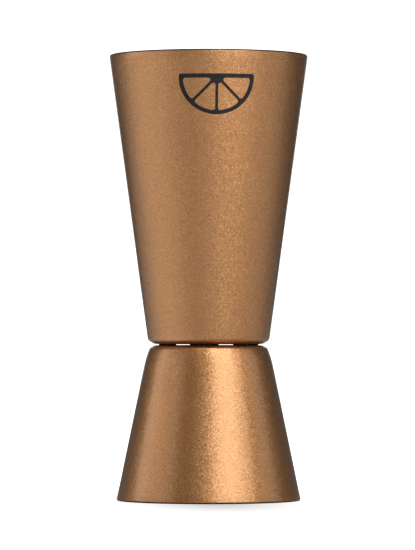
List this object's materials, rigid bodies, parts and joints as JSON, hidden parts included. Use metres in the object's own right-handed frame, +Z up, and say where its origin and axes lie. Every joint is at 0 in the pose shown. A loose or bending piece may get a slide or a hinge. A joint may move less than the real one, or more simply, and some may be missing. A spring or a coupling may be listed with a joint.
{
  "type": "bar jigger",
  "caption": "Double-ended bar jigger: a large and a small flared metal cup joined floor to floor at a narrow waist, with a metallic bronze coat and a printed citrus emblem.",
  "frame": {"origin": "centre of the base rim's plane, on the axis of both cups", "axes": "+Z up along the axis, from the small cup's mouth to the large cup's; -Y towards the printed emblem; +X to the right for someone who faces the emblem"},
  "size_m": [0.0446, 0.0446, 0.1],
  "materials": {
    "steel": "satin stainless steel, turned inside",
    "weld_metal": "melted steel",
    "filler": "dark glossy seam filler",
    "bronze_coat": "satin bronze with fine metal flake",
    "ink": "satin black pad print"
  },
  "bodies": {
    "root": {"upper_cup": "steel", "lower_cup": "steel", "centre_weld": "weld_metal", "seam_filler": "filler", "upper_coating": "bronze_coat", "lower_coating": "bronze_coat", "printed_emblem": "ink"}
  },
  "joints": []
}
